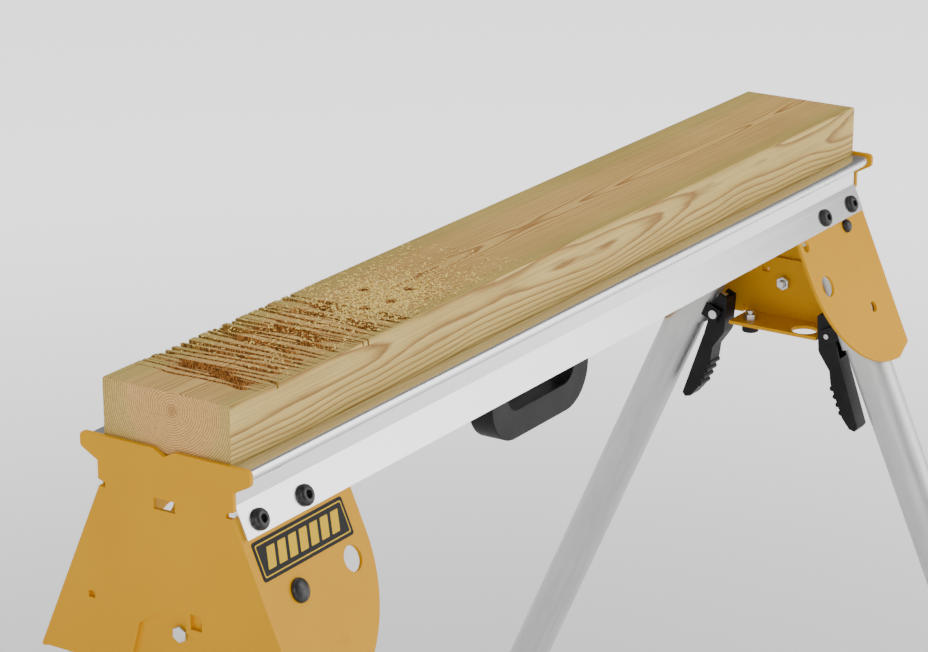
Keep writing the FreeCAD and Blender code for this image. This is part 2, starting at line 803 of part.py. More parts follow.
def make_saddle(name, place):
    """Saddle on the inner side of the tube, with two ears that carry the lever's pin."""
    radius = size("tube_radius")
    shell = radius + size("saddle_wall")
    top = size("saddle_top")
    length = size("saddle_length")
    axis = -AXIS_INSET
    ear_top = size("pin_height") + 5 - AXIS_INSET
    band = cylinder("saddle_band_" + name, shell, length, 0, axis, top - length)
    ears = []
    for sign in (1, -1):
        x = size("ear_gap") if sign > 0 else -size("ear_gap") - size("ear_thick")
        ears.append(box("saddle_ear_%s_%d" % (name, len(ears)), x, axis - ear_top, -size("pin_drop") - 6,
                        size("ear_thick"), ear_top, 12))
    bore = cylinder("saddle_bore_" + name, radius, 200, 0, axis, -100)
    half = box("saddle_half_" + name, -50, axis, -100, 100, 60, 200)
    pin = cylinder("saddle_pin_hole_" + name, size("pin_radius"), THROUGH, -THROUGH / 2,
                   -size("pin_height"), -size("pin_drop"), ("y", 90))
    plunger = cross_bore("saddle_plunger_hole_" + name, size("plunger_bore_radius"))
    blank = fuse("saddle_blank_" + name, band, *ears)
    finish(cut("lever_saddle_" + name, blank, bore, half, pin, plunger), "lever_saddle_" + name, place)


LEVER_OUTLINE = [
    # height above the wing's outer face, distance down the leg from the plunger
    (39.0, -5.5), (47.0, -5.5), (56.6, 21.5), (56.6, 24.5), (53.4, 40.0), (56.5, 51.0), (56.8, 80.0),
    (54.0, 90.0), (50.0, 93.0), (46.5, 91.0), (43.5, 57.0), (41.5, 32.0), (38.8, 14.0), (38.6, -3.5),
]
RIDGE_SPOTS = (54.5, 61.5, 68.5, 75.5)
RIDGE_HEIGHT = 56.4


def make_lever(name, place):
    """Squeeze lever: hollow at its head for the plunger, ridged for the fingers at its tail."""
    points = [(-as_dim(height), -as_dim(down)) for height, down in LEVER_OUTLINE]
    body = doc.addObject("PartDesign::Body", "lever_body_" + name)
    outline = sketch(body, "lever_outline_" + name, "YZ_Plane", points)
    pad(body, outline, size("lever_half") * 2, middle=True)
    ridges = []
    for down in RIDGE_SPOTS:
        ridge_name = "lever_ridge_%s_%d" % (name, len(ridges))
        ridges.append(cylinder(ridge_name, size("ridge_radius"), size("lever_half") * 2,
                               -size("lever_half"), -RIDGE_HEIGHT, -down, ("y", 90)))
    blank = fuse("lever_blank_" + name, body, *ridges)
    room = size("lever_half") - size("lever_wall")
    hollow = box("lever_hollow_" + name, -room, -46.5, -33, room * 2, 20, 60)
    upper = box("lever_upper_" + name, -room, -51.5, -33, room * 2, 20, 24)
    bore = cylinder("lever_bore_" + name, size("pin_bore_radius"), THROUGH, -THROUGH / 2,
                    -size("pin_height"), -size("pin_drop"), ("y", 90))
    finish(cut("squeeze_lever_" + name, blank, hollow, upper, bore), "squeeze_lever_" + name, place)


def make_lock(end, side):
    """Saddle, lever, fulcrum pin, return spring and lock plunger of one leg."""
    name = "%s_%s" % (end, side)
    place = lean_place(end, side, size("pivot_inset"), size("pivot_depth_" + end),
                       size("lock_reach_" + end))
    make_saddle(name, place)
    make_lever(name, place)
    height = size("pin_height")
    drop = size("pin_drop")
    out = size("ear_gap") + size("ear_thick")
    cap = size("pin_head_thick")
    shank = cylinder("fulcrum_shank_" + name, size("pin_radius"), out * 2 + 1.5, -out, -height, -drop,
                     ("y", 90))
    head = cylinder("fulcrum_head_" + name, size("pin_head_radius"), cap, -out - cap, -height, -drop,
                    ("y", 90))
    finish(fuse("fulcrum_pin_" + name, shank, head), "fulcrum_pin_" + name, place)
    coil_radius = size("spring_radius")
    tail_length = size("spring_tail")
    coils = []
    for turn in range(4):
        coil = doc.addObject("Part::Torus", "spring_coil_%s_%d" % (name, turn))
        bind(coil, Radius1=coil_radius, Radius2=size("spring_wire"))
        coils.append(put(coil, spot(size("spring_pitch") * turn - 2.2, -height, -drop, ("y", 90))))
    tail = cylinder("spring_tail_" + name, size("spring_wire"), tail_length, -0.8, coil_radius - height,
                    -drop - tail_length)
    finish(fuse("lever_spring_" + name, tail, *coils), "lever_spring_" + name, place)
    tip = size("plunger_tip")
    top = size("plunger_head_top")
    thick = size("plunger_head_thick")
    rod = cylinder("plunger_rod_" + name, size("plunger_radius"), top - tip, 0, -tip, 0, ("x", 90))
    end_cap = cylinder("plunger_head_" + name, size("plunger_head_radius"), thick, 0, thick - top, 0,
                       ("x", 90))
    finish(fuse("lock_plunger_" + name, rod, end_cap), "lock_plunger_" + name, place)


# ---- handle and timber -----------------------------------------------------------------------

def make_handle():
    """D-shaped carry handle that hangs below the middle of the beam."""
    half = size("handle_length") / 2
    opening = size("handle_opening") / 2
    top = -size("deck_drop") - size("deck_thick")
    bottom = -size("handle_bottom")
    bar = bottom + size("handle_bar")
    body = doc.addObject("PartDesign::Body", "handle_body")
    outline = sketch(body, "handle_outline", "XZ_Plane",
                     [(-half, top), (half, top), (half, bottom), (-half, bottom)])
    block = pad(body, outline, size("handle_half_width") * 2, middle=True)
    across = FreeCAD.Vector(0, 1, 0)
    outer = round_corners(body, block, across, [(half, 0, bottom), (-half, 0, bottom)],
                          size("handle_round"), "handle_outer_rounding")
    doc.recompute()
    gap_top = -size("handle_gap_top")
    gap = pocket(body, sketch(body, "handle_gap", "XZ_Plane", window(-opening, opening, gap_top, bar)))
    spots = [(side, 0, level) for side in (opening, -opening) for level in (gap_top, bar)]
    round_corners(body, gap, across, spots, size("handle_gap_round"), "handle_gap_rounding")
    put(body, spot(0, 0, BEAD))
    holes = []
    screws = []
    for sign in (1, -1):
        x = size("handle_screw_offset") * sign
        deck = BEAD - size("deck_drop")
        length = size("handle_screw_length")
        holes.append(cylinder("handle_hole_%d" % len(holes), size("small_hole_radius"), length + 2, x, 0,
                              deck - length - 2))
        head = cylinder("handle_screw_head_%d" % len(screws), size("handle_screw_head_radius"),
                        size("handle_screw_head_thick"), x, 0, deck - 2)
        shank = cylinder("handle_screw_shank_%d" % len(screws), size("small_bolt_radius"), length - 1, x, 0,
                         deck - length)
        screws.append(fuse("handle_screw_%d" % len(screws), head, shank))
    finish(cut("carry_handle", body, *holes), "carry_handle")
    finish(group("handle_screws", screws), "handle_screws")


def make_timber():
    """Sacrificial timber that lies on the deck between the end plates."""
    length = size("timber_length")
    half = size("timber_half")
    low = BEAD - size("deck_drop")
    plank = box("sacrificial_timber", -length / 2, -half, low, length, half * 2, size("timber_thick"))
    finish(plank, "sacrificial_timber")


def main():
    make_beam()
    make_handle()
    make_timber()
    make_labels()
    for end in ENDS:
        make_bracket(end)
        make_brace(end)
        make_bumper(end)
        make_skirt_screws(end)
        make_pivot_bolts(end)
        for side in SIDES:
            make_leg(end, side)
            make_lock(end, side)
    doc.recompute()
    for item in doc.Objects:
        if "Invalid" in item.State or "Error" in item.State:
            raise RuntimeError("%s did not build: %s" % (item.Name, item.State))
    for item in finished:
        if item.Shape.isNull() or not item.Shape.isValid():
            raise RuntimeError("%s has no valid shape" % item.Label)
    os.makedirs("parts", exist_ok=True)
    for item in finished:
        item.Shape.exportStep("parts/%s.step" % item.Label)
    print("wrote", len(finished), "parts")


main()
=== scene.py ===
import json
import math
import random

import bmesh
import bpy
from mathutils import Matrix, Vector, noise


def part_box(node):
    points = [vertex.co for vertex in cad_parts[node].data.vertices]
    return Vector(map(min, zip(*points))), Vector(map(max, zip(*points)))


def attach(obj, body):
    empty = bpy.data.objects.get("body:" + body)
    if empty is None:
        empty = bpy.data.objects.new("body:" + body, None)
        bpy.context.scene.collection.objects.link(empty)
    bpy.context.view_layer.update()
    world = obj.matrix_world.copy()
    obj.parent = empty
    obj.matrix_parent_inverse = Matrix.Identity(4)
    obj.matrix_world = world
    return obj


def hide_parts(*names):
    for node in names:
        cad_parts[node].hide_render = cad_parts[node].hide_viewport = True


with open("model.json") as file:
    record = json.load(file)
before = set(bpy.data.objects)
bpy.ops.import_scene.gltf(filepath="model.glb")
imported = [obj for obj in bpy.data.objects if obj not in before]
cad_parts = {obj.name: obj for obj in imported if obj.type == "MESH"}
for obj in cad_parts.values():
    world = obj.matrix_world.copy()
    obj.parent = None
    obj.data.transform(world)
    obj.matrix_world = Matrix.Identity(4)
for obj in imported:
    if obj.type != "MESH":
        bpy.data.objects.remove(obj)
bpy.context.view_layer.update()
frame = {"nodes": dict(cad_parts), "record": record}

MM = 0.001
WELD = 0.01 * MM                     # vertices closer than this are one vertex
FLAT = math.radians(0.6)             # faces that meet at less than this are one flat face
EAR_REACH = 18.9 * MM                # from a tube's axis to where the ears leave the saddle's band
BLACK = (0.0, 0.0, 0.0)
WHITE = (1.0, 1.0, 1.0)
ENDS = ("a", "b")
SIDES = ("left", "right")
LEGS = ["%s_%s" % (end, side) for end in ENDS for side in SIDES]
rng = random.Random(7)

body_of_node = {}
for body, nodes in frame["record"]["behaviour"]["bodies"].items():
    for node in nodes:
        body_of_node[node] = body


# ---- material building ------------------------------------------------------------------

class Shader:
    """A node material with one Principled shader and short calls for the usual nodes."""

    def __init__(self, name, roughness=0.5, metallic=0.0, specular=0.5):
        self.material = bpy.data.materials.new(name)
        self.material.use_nodes = True
        self.tree = self.material.node_tree
        self.main = self.tree.nodes["Principled BSDF"]
        self.main.inputs["Roughness"].default_value = roughness
        self.main.inputs["Metallic"].default_value = metallic
        self.main.inputs["Specular IOR Level"].default_value = specular
        self.place = self.node("ShaderNodeTexCoord").outputs["Object"]

    def node(self, kind, **settings):
        made = self.tree.nodes.new(kind)
        for key, value in settings.items():
            setattr(made, key, value)
        return made

    def join(self, output, target):
        self.tree.links.new(output, target)

    def fill(self, made, values):
        """Link or set each named or numbered input of a node."""
        for key, value in values.items():
            if isinstance(value, bpy.types.NodeSocket):
                self.join(value, made.inputs[key])
            else:
                made.inputs[key].default_value = value
        return made

    def stretched(self, scale):
        mapping = self.node("ShaderNodeMapping")
        self.fill(mapping, {"Vector": self.place, "Scale": scale})
        return mapping.outputs["Vector"]

    def cloud(self, scale, stretch=(1, 1, 1), detail=4.0, rough=0.55):
        made = self.node("ShaderNodeTexNoise")
        self.fill(made, {"Scale": scale, "Detail": detail, "Roughness": rough})
        self.join(self.stretched(stretch), made.inputs["Vector"])
        return made.outputs["Fac"]

    def math(self, operation, first, second=0.0):
        made = self.node("ShaderNodeMath", operation=operation)
        return self.fill(made, {0: first, 1: second}).outputs[0]

    def ramp(self, factor, stops):
        made = self.node("ShaderNodeValToRGB")
        points = made.color_ramp.elements
        while len(points) < len(stops):
            points.new(0.5)
        for point, (position, colour) in zip(points, stops):
            point.position = position
            point.color = colour + (1.0,)
        self.join(factor, made.inputs["Fac"])
        return made.outputs["Color"]

    def mix(self, factor, first, second, blend="MIX"):
        """Mixed colour. The node's colours are its inputs 6 and 7 and its output 2."""
        made = self.node("ShaderNodeMix", data_type="RGBA", blend_type=blend)
        for index, value in ((0, factor), (6, first), (7, second)):
            if isinstance(value, tuple):
                value = value + (1.0,)
            self.fill(made, {index: value})
        return made.outputs[2]

    def range(self, factor, low, high):
        made = self.node("ShaderNodeMapRange")
        self.fill(made, {"Value": factor, "To Min": low, "To Max": high})
        return made.outputs["Result"]

    def colour(self, value):
        if isinstance(value, tuple):
            value = value + (1.0,)
        self.fill(self.main, {"Base Color": value})

    def roughness(self, value):
        self.join(value, self.main.inputs["Roughness"])

    def bump(self, heights):
        """Stack of (height, strength, distance in metres) bumps."""
        normal = None
        for height, strength, distance in heights:
            made = self.node("ShaderNodeBump")
            self.fill(made, {"Strength": strength, "Distance": distance, "Height": height})
            if normal:
                self.join(normal, made.inputs["Normal"])
            normal = made.outputs["Normal"]
        self.join(normal, self.main.inputs["Normal"])

    def edge_wear(self):
        """White in patches along worn convex edges, from the mesh's pointiness."""
        pointy = self.node("ShaderNodeNewGeometry").outputs["Pointiness"]
        edges = self.ramp(pointy, [(0.52, BLACK), (0.6, WHITE)])
        patches = self.ramp(self.cloud(60, detail=6), [(0.5, BLACK), (0.62, WHITE)])
        return self.math("MULTIPLY", edges, patches)


def yellow_paint():
    """Powder coat: warm yellow with a faint orange peel, slight mottling and grime."""
    shader = Shader("yellow_powder_coat", roughness=0.42, specular=0.12)
    mottle = shader.cloud(9, detail=3)
    base = shader.ramp(mottle, [(0.3, (0.66, 0.315, 0.0)), (0.7, (0.72, 0.35, 0.0))])
    specks = shader.cloud(38, detail=8, rough=0.7)
    grime = shader.ramp(specks, [(0.62, WHITE), (0.8, (0.86, 0.82, 0.74))])
    shader.colour(shader.mix(0.7, base, grime, "MULTIPLY"))
    shader.roughness(shader.range(shader.cloud(120, detail=5), 0.34, 0.46))
    peel = shader.cloud(900, detail=1)
    shader.bump([(peel, 0.12, 0.12 * MM), (shader.cloud(90, detail=3), 0.05, 0.4 * MM)])
    return shader.material


def extruded_aluminium():
    """Satin extrusion with fine die lines along the beam and light handling marks."""
    shader = Shader("extruded_aluminium", roughness=0.36, metallic=1.0)
    lines = shader.cloud(700, stretch=(0.004, 1, 1), detail=3)
    broad = shader.cloud(60, stretch=(0.02, 1, 1), detail=2)
    marks = shader.cloud(220, stretch=(0.3, 1, 1), detail=8, rough=0.75)
    fine_tone = shader.ramp(lines, [(0.3, (0.73, 0.74, 0.75)), (0.7, (0.80, 0.80, 0.81))])
    broad_tone = shader.ramp(broad, [(0.35, (0.68, 0.69, 0.70)), (0.65, (0.82, 0.82, 0.82))])
    tone = shader.mix(0.2, fine_tone, broad_tone)
    shader.colour(shader.mix(shader.range(marks, 0.0, 0.1), tone, (0.5, 0.5, 0.5)))
    shader.roughness(shader.range(lines, 0.2, 0.29))
    shader.bump([(lines, 0.1, 0.06 * MM), (marks, 0.04, 0.04 * MM)])
    return shader.material


def drawn_aluminium():
    """Matt tube with a soft grain across its length and small scuffs."""
    shader = Shader("drawn_aluminium", roughness=0.46, metallic=0.85)
    grain = shader.cloud(500, stretch=(1, 0.05, 0.05), detail=4)
    scuffs = shader.cloud(130, stretch=(1, 0.4, 0.2), detail=9, rough=0.75)
    tone = shader.ramp(grain, [(0.3, (0.57, 0.58, 0.57)), (0.7, (0.68, 0.69, 0.68))])
    dulled = shader.ramp(scuffs, [(0.6, BLACK), (0.75, WHITE)])
    shader.colour(shader.mix(shader.math("MULTIPLY", dulled, 0.25), tone, (0.38, 0.38, 0.37)))
    shader.roughness(shader.range(grain, 0.4, 0.54))
    shader.bump([(grain, 0.12, 0.06 * MM), (scuffs, 0.06, 0.08 * MM)])
    return shader.material


def black_plastic():
    """Moulded nylon: near black, fine spark texture, rubbed paler on its edges."""
    shader = Shader("black_nylon", roughness=0.46, specular=0.2)
    patches = shader.cloud(30, detail=4)
    tone = shader.ramp(patches, [(0.4, (0.005, 0.005, 0.006)), (0.75, (0.012, 0.012, 0.014))])
    rubbed = shader.math("MULTIPLY", shader.edge_wear(), 0.25)
    shader.colour(shader.mix(rubbed, tone, (0.06, 0.06, 0.065)))
    shader.roughness(shader.range(shader.cloud(45, detail=4), 0.38, 0.56))
    shader.bump([(shader.cloud(2200, detail=2), 0.25, 0.09 * MM)])
    return shader.material


def black_rubber():
    """Dull rubber with a film of dust."""
    shader = Shader("black_rubber", roughness=0.78, specular=0.3)
    film = shader.cloud(70, detail=7)
    shader.colour(shader.ramp(film, [(0.45, (0.013, 0.013, 0.013)), (0.8, (0.045, 0.043, 0.040))]))
    shader.roughness(shader.range(shader.cloud(70, detail=5), 0.68, 0.9))
    shader.bump([(shader.cloud(1500, detail=3), 0.3, 0.12 * MM)])
    return shader.material


def black_oxide():
    """Blackened steel fasteners with worn rims."""
    shader = Shader("black_oxide_steel", roughness=0.38, metallic=0.55)
    patches = shader.cloud(300, detail=6)
    tone = shader.ramp(patches, [(0.35, (0.018, 0.018, 0.019)), (0.7, (0.045, 0.045, 0.045))])
    rubbed = shader.math("MULTIPLY", shader.edge_wear(), 0.5)
    shader.colour(shader.mix(rubbed, tone, (0.22, 0.21, 0.20)))
    shader.roughness(shader.range(shader.cloud(400, detail=4), 0.28, 0.5))
    shader.bump([(shader.cloud(1800, detail=3), 0.12, 0.05 * MM)])
    return shader.material


def zinc_steel():
    """Zinc plate: pale metal with faint warm and blue patches."""
    shader = Shader("zinc_plated_steel", roughness=0.34, metallic=1.0)
    warm = (0.58, 0.57, 0.50)
    plain = (0.66, 0.66, 0.66)
    blue = (0.56, 0.60, 0.66)
    shader.colour(shader.ramp(shader.cloud(160, detail=3), [(0.3, warm), (0.55, plain), (0.8, blue)]))
    shader.roughness(shader.range(shader.cloud(600, detail=5), 0.26, 0.46))
    shader.bump([(shader.cloud(1400, detail=3), 0.15, 0.05 * MM)])
    return shader.material


RING_PITCH = 1.6 * MM                # width of one year's growth
PITH_WANDER = 15 * MM                # how far the pith strays from a straight line
BARK_REACH = 60 * MM                 # radius at which the wood's tone has gone from pith to bark


def timber_rings(shader, pith):
    """Distance from a wandering pith line that runs along X, in metres."""
    bend = shader.node("ShaderNodeTexNoise")
    shader.fill(bend, {"Scale": 1.0, "Detail": 2.0, "Roughness": 0.5})
    shader.join(shader.stretched((3.4, 9.0, 9.0)), bend.inputs["Vector"])
    offset = shader.node("ShaderNodeVectorMath", operation="SUBTRACT")
    shader.fill(offset, {0: bend.outputs["Color"], 1: (0.5, 0.5, 0.5)})
    scaled = shader.node("ShaderNodeVectorMath", operation="SCALE")
    shader.fill(scaled, {0: offset.outputs[0], "Scale": PITH_WANDER})
    moved = shader.node("ShaderNodeVectorMath", operation="ADD")
    shader.fill(moved, {0: shader.place, 1: scaled.outputs[0]})
    parts = shader.node("ShaderNodeSeparateXYZ")
    shader.join(moved.outputs[0], parts.inputs[0])
    across = shader.math("SUBTRACT", parts.outputs["Y"], pith[0])
    upward = shader.math("SUBTRACT", parts.outputs["Z"], pith[1])
    across_squared = shader.math("MULTIPLY", across, across)
    upward_squared = shader.math("MULTIPLY", upward, upward)
    return shader.math("SQRT", shader.math("ADD", across_squared, upward_squared))


def timber_wood(name, pith, sawn=False):
    """Softwood whose growth rings show as rings on the ends and as grain along the faces."""
    shader = Shader(name, roughness=0.62, specular=0.3)
    radius = timber_rings(shader, pith)
    wander = shader.math("MULTIPLY", shader.cloud(240, stretch=(0.1, 1, 1), detail=3), 0.45)
    phase = shader.math("ADD", shader.math("DIVIDE", radius, RING_PITCH), wander)
    ring = shader.math("FRACT", phase)
    pale = (0.86, 0.61, 0.26)
    late = (0.40, 0.19, 0.05)
    grain = shader.ramp(ring, [(0.0, pale), (0.5, (0.78, 0.53, 0.20)), (0.84, late), (1.0, pale)])
    zones = [(0.03, (0.80, 0.62, 0.50)), (0.08, (1.06, 0.93, 0.80)), (0.5, (1.04, 0.93, 0.80)),
             (0.62, (0.90, 0.92, 0.72)), (0.85, (0.82, 0.87, 0.62))]
    fibre = shader.cloud(800, stretch=(0.01, 1, 1), detail=4)
    blotch = shader.cloud(11, stretch=(0.6, 1, 1), detail=5)
    upward_shade_normal = shader.node("ShaderNodeSeparateXYZ")
    shader.join(shader.node("ShaderNodeNewGeometry").outputs["Normal"], upward_shade_normal.inputs[0])
    tints = [
        (1.0, shader.math("DIVIDE", radius, BARK_REACH), zones),
        (0.55, fibre, [(0.35, (0.60, 0.58, 0.52)), (0.6, WHITE)]),
        (0.55, blotch, [(0.38, (0.80, 0.74, 0.62)), (0.66, WHITE)]),
        # Painted shade: faces turned upward are made darker and greener so the top matches the sides under
        # the top light
        (1.0, upward_shade_normal.outputs["Z"], [(0.6, WHITE), (0.95, (0.76, 0.80, 0.70))]),
    ]
    if sawn:
        teeth = shader.cloud(900, stretch=(1, 1, 0.1), detail=2)
        tints.append((0.9, teeth, [(0.42, (0.28, 0.17, 0.10)), (0.58, (1.0, 0.80, 0.60))]))
    for strength, factor, stops in tints:
        grain = shader.mix(strength, grain, shader.ramp(factor, stops), "MULTIPLY")
    shader.colour(grain)
    shader.roughness(shader.range(fibre, 0.52, 0.72))
    dents = shader.cloud(160, detail=6)
    shader.bump([(ring, 0.12, 0.3 * MM), (fibre, 0.35, 0.2 * MM), (dents, 0.12, 0.5 * MM)])
    return shader.material


def sawdust_material():
    """Fresh pale shavings that let a little light through."""
    shader = Shader("sawdust", roughness=0.85, specular=0.2)
    mottle = shader.cloud(700, detail=2)
    shader.colour(shader.ramp(mottle, [(0.3, (0.84, 0.55, 0.11)), (0.7, (0.98, 0.80, 0.30))]))
    shader.fill(shader.main, {"Subsurface Weight": 0.1, "Subsurface Scale": 1.0 * MM})
    return shader.material


def vinyl(name, ink):
    """Printed label film, a little scuffed."""
    shader = Shader(name, roughness=0.4, specular=0.1)
    scuffs = shader.ramp(shader.cloud(90, detail=8, rough=0.7), [(0.6, WHITE), (0.8, (0.8, 0.8, 0.8))])
    shader.colour(shader.mix(0.5, ink, scuffs, "MULTIPLY"))
    shader.roughness(shader.range(shader.cloud(200, detail=4), 0.24, 0.4))
    shader.bump([(shader.cloud(700, detail=1), 0.06, 0.1 * MM)])
    return shader.material


# ---- mesh building -----------------------------------------------------------------------

def add_object(name, mesh):
    made = bpy.data.objects.new(name, mesh)
    bpy.context.scene.collection.objects.link(made)
    return made


def object_from(name, shape, materials, smooth_angle=35):
    """Object from a bmesh, smooth shaded with its sharp edges kept."""
    mesh = bpy.data.meshes.new(name)
    shape.normal_update()
    shape.to_mesh(mesh)
    shape.free()
    for material in materials:
        mesh.materials.append(material)
    mesh.shade_smooth()
    mesh.set_sharp_from_angle(angle=math.radians(smooth_angle))
    return add_object(name, mesh)


def welded(node):
    """A CAD node's own shape as a bmesh with its shared corners joined."""
    shape = bmesh.new()
    shape.from_mesh(frame["nodes"][node].data)
    bmesh.ops.remove_doubles(shape, verts=shape.verts, dist=WELD)
    return shape


def stand_for(made, node):
    """Ride on a node's body and show in its place."""
    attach(made, body_of_node[node])
    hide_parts(node)


def softened(node, material, width, segments=2, limit=30):
    """A CAD node's own shape with its hard edges rounded over, standing in for the node.

    width is in millimetres, and edges that turn by more than limit degrees are rounded.
    """
    shape = welded(node)
    bmesh.ops.dissolve_limit(shape, angle_limit=FLAT, verts=shape.verts, edges=shape.edges)
    made = object_from(node + "_surface", shape, [material], smooth_angle=40)
    bevel = made.modifiers.new("rounded_edges", "BEVEL")
    bevel.limit_method = "ANGLE"
    bevel.angle_limit = math.radians(limit)
    bevel.width = width * MM
    bevel.segments = segments
    bevel.use_clamp_overlap = True
    made.modifiers.new("even_normals", "WEIGHTED_NORMAL").keep_sharp = True
    stand_for(made, node)
    return made


def dress(node, material):
    """Give a CAD node that stays in view its finished material."""
    target = frame["nodes"][node]
    for slot in target.material_slots:
        slot.material = material


def wing_normal(side):
    """Outward normal of the wings on one side, from the axis of a lock plunger."""
    for joint in frame["record"]["behaviour"]["joints"]:
        if joint["name"] == "plunger_slide_a_" + side:
            return -Vector(joint["axis"])
    raise ValueError(side)


def blacken_ears(saddle, leg, material):
    """Black nylon on a saddle's ears, which stand clear of the band round the leg tube."""
    up = Vector((1, 0, 0)).cross(wing_normal(leg.split("_")[1]))
    low, high = (Vector(corner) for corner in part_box("leg_tube_" + leg))
    middle = (low + high) / 2
    saddle.data.materials.append(material)
    for face in saddle.data.polygons:
        offset = face.center - middle
        if (offset - up * offset.dot(up)).length > EAR_REACH:
            face.material_index = 1


def islands(node):
    """Vertex positions of each separate solid in a node."""
    shape = welded(node)
    left = set(shape.verts)
    found = []
    while left:
        stack = [left.pop()]
        island = [stack[0].co.copy()]
        while stack:
            vertex = stack.pop()
            for edge in vertex.link_edges:
                other = edge.other_vert(vertex)
                if other in left:
                    left.remove(other)
                    stack.append(other)
                    island.append(other.co.copy())
        found.append(island)
    shape.free()
    return found


def side_of(island):
    return "left" if sum(point.y for point in island) > 0 else "right"


def hexagon_radius(angle, flat_radius):
    return flat_radius / math.cos((angle + math.pi / 6) % (math.pi / 3) - math.pi / 6)


def lathe(shape, centre, normal, rings, steps=48):
    """Turned solid. Each ring is (radius, height, hexagonal) in millimetres, from one end to the other."""
    turn = Vector((0, 0, 1)).rotation_difference(normal).to_matrix().to_4x4()
    place = Matrix.Translation(centre) @ turn
    loops = []
    for radius, height, hexagonal in rings:
        loop = []
        for step in range(steps):
            angle = 2 * math.pi * step / steps
            reach = hexagon_radius(angle, radius) if hexagonal else radius
            point = Vector((reach * math.cos(angle), reach * math.sin(angle), height)) * MM
            loop.append(shape.verts.new(place @ point))
        loops.append(loop)
    for low, high in zip(loops, loops[1:]):
        for step in range(steps):
            following = (step + 1) % steps
            shape.faces.new((low[step], low[following], high[following], high[step]))
    shape.faces.new(loops[-1])
    shape.faces.new(reversed(loops[0]))


# ---- fasteners ---------------------------------------------------------------------------

# Heads and shanks in millimetres: a rim, a dome up to a small flat, and a hexagonal socket or none
SHANK_RADIUS = 4.0
SKIRT_SCREW = {"radius": 7.0, "rim": 0.9, "height": 4.2, "flat": 3.4, "shank": 8.0,
               "socket": 2.5, "depth": 2.8}
PIVOT_BOLT_A = {"radius": 7.8, "rim": 0.8, "height": 4.4, "flat": 0.4, "shank": 43.0}
PIVOT_BOLT_B = {"radius": 5.4, "rim": 0.8, "height": 4.4, "flat": 0.4, "shank": 43.0}
RIM_BREAK = (0.3, 0.35)              # inward and upward size of the rim's eased lower edge
DOME_STEPS = 9
MOUTH_WIDENING = 0.45
MOUTH_DEPTH = 0.3
LIP = 0.02                           # drop from the dome's flat to the socket's mouth
DRILL_TIP = (0.4, 0.5)               # radius and depth of the drill's point under the socket
HEAD_REACH = 5 * MM                  # all of a head lies within this distance of its top


def domed_rings(radius, rim, height, flat, shank, socket=None, depth=None):
    """Profile of a domed head and its shank, from the shank's tip over the seat to the middle."""
    rings = [(SHANK_RADIUS, -shank, False), (SHANK_RADIUS, 0.0, False)]
    rings += [(radius - RIM_BREAK[0], 0.0, False), (radius, RIM_BREAK[1], False), (radius, rim, False)]
    for step in range(1, DOME_STEPS + 1):
        angle = math.pi / 2 * step / DOME_STEPS
        reach = flat + (radius - flat) * math.cos(angle)
        rings.append((reach, rim + (height - rim) * math.sin(angle), False))
    if socket:
        rings += [(socket + MOUTH_WIDENING, height - LIP, False), (socket, height - MOUTH_DEPTH, True)]
        rings += [(socket, height - depth, True), (DRILL_TIP[0], height - depth - DRILL_TIP[1], False)]
    return rings


def turned_fasteners(node, material, head):
    """Replace each fastener of a node by a turned one with its head on the node's own axis."""
    shape = bmesh.new()
    for island in islands(node):
        normal = wing_normal(side_of(island))
        top = max(point.dot(normal) for point in island)
        crown = [point for point in island if point.dot(normal) > top - HEAD_REACH]
        low = [min(point[axis] for point in crown) for axis in range(3)]
        high = [max(point[axis] for point in crown) for axis in range(3)]
        middle = (Vector(low) + Vector(high)) / 2
        middle += normal * (top - head["height"] * MM - middle.dot(normal))
        lathe(shape, middle, normal, domed_rings(**head))
    made = object_from(node + "_turned", shape, [material], smooth_angle=38)
    stand_for(made, node)


# ---- timber --------------------------------------------------------------------------------

TIMBER_LOW, TIMBER_HIGH = (Vector(corner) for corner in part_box("sacrificial_timber"))
PITH = (-3 * MM, TIMBER_HIGH.z - 11 * MM)
EASE = 0.8 * MM                      # eased long edges, and how far the ends' easing runs in
END_DROP = 0.6 * MM                  # how far the ends' easing drops
TOP_STRIPS = 56                      # strips of faces across the top
PLAIN_STEPS = 30                     # faces along each strip past the saw cuts
KERF_COUNT = 27
KERF_START = 24 * MM
KERF_PITCH = 6.4 * MM
RUN_OUT = 9 * MM                     # length over which a saw cut rises out of the wood
CHIP_DEPTH = 3.2 * MM                # splintered edge beside a cut, at its deepest
CHIP_REACH = 1.6 * MM                # and how far it reaches
HOLE_RADIUS = 3.6                    # drilled holes, in millimetres
# Drilled holes: distance from the timber's near end and offset from its middle line
DRILLED = ((221 * MM, 11 * MM), (238 * MM, -13 * MM), (211 * MM, -17 * MM), (190 * MM, -12 * MM))


def kerf_list():
    """Saw cuts across the near end, each with its own place, slant, size and run-out.

    settle is how far the wood beside the cut has broken down, and seed sets the cut apart in the noise.
    """
    cuts = []
    place = KERF_START
    for number in range(KERF_COUNT):
        place += KERF_PITCH * rng.uniform(0.55, 1.45)
        cuts.append({
            "x": place,
            "slope": 0.05 * math.sin(number * 0.7) + rng.uniform(-0.015, 0.015),
            "width": rng.uniform(1.5, 3.2) * MM,
            "depth": rng.uniform(3.0, 7.5) * MM,
            "settle": rng.uniform(0.0, 2.0) * MM,
            "end": rng.choice((-60, -46, -42, -38, -30, -44, -70)) * MM,
            "start": rng.choice((70, 70, 70, 60, 30, 70)) * MM,
            "seed": rng.uniform(0, 50),
        })
    return cuts


def fade(value):
    """Smooth step from 0 to 1."""
    value = max(0.0, min(1.0, value))
    return value * value * (3 - 2 * value)


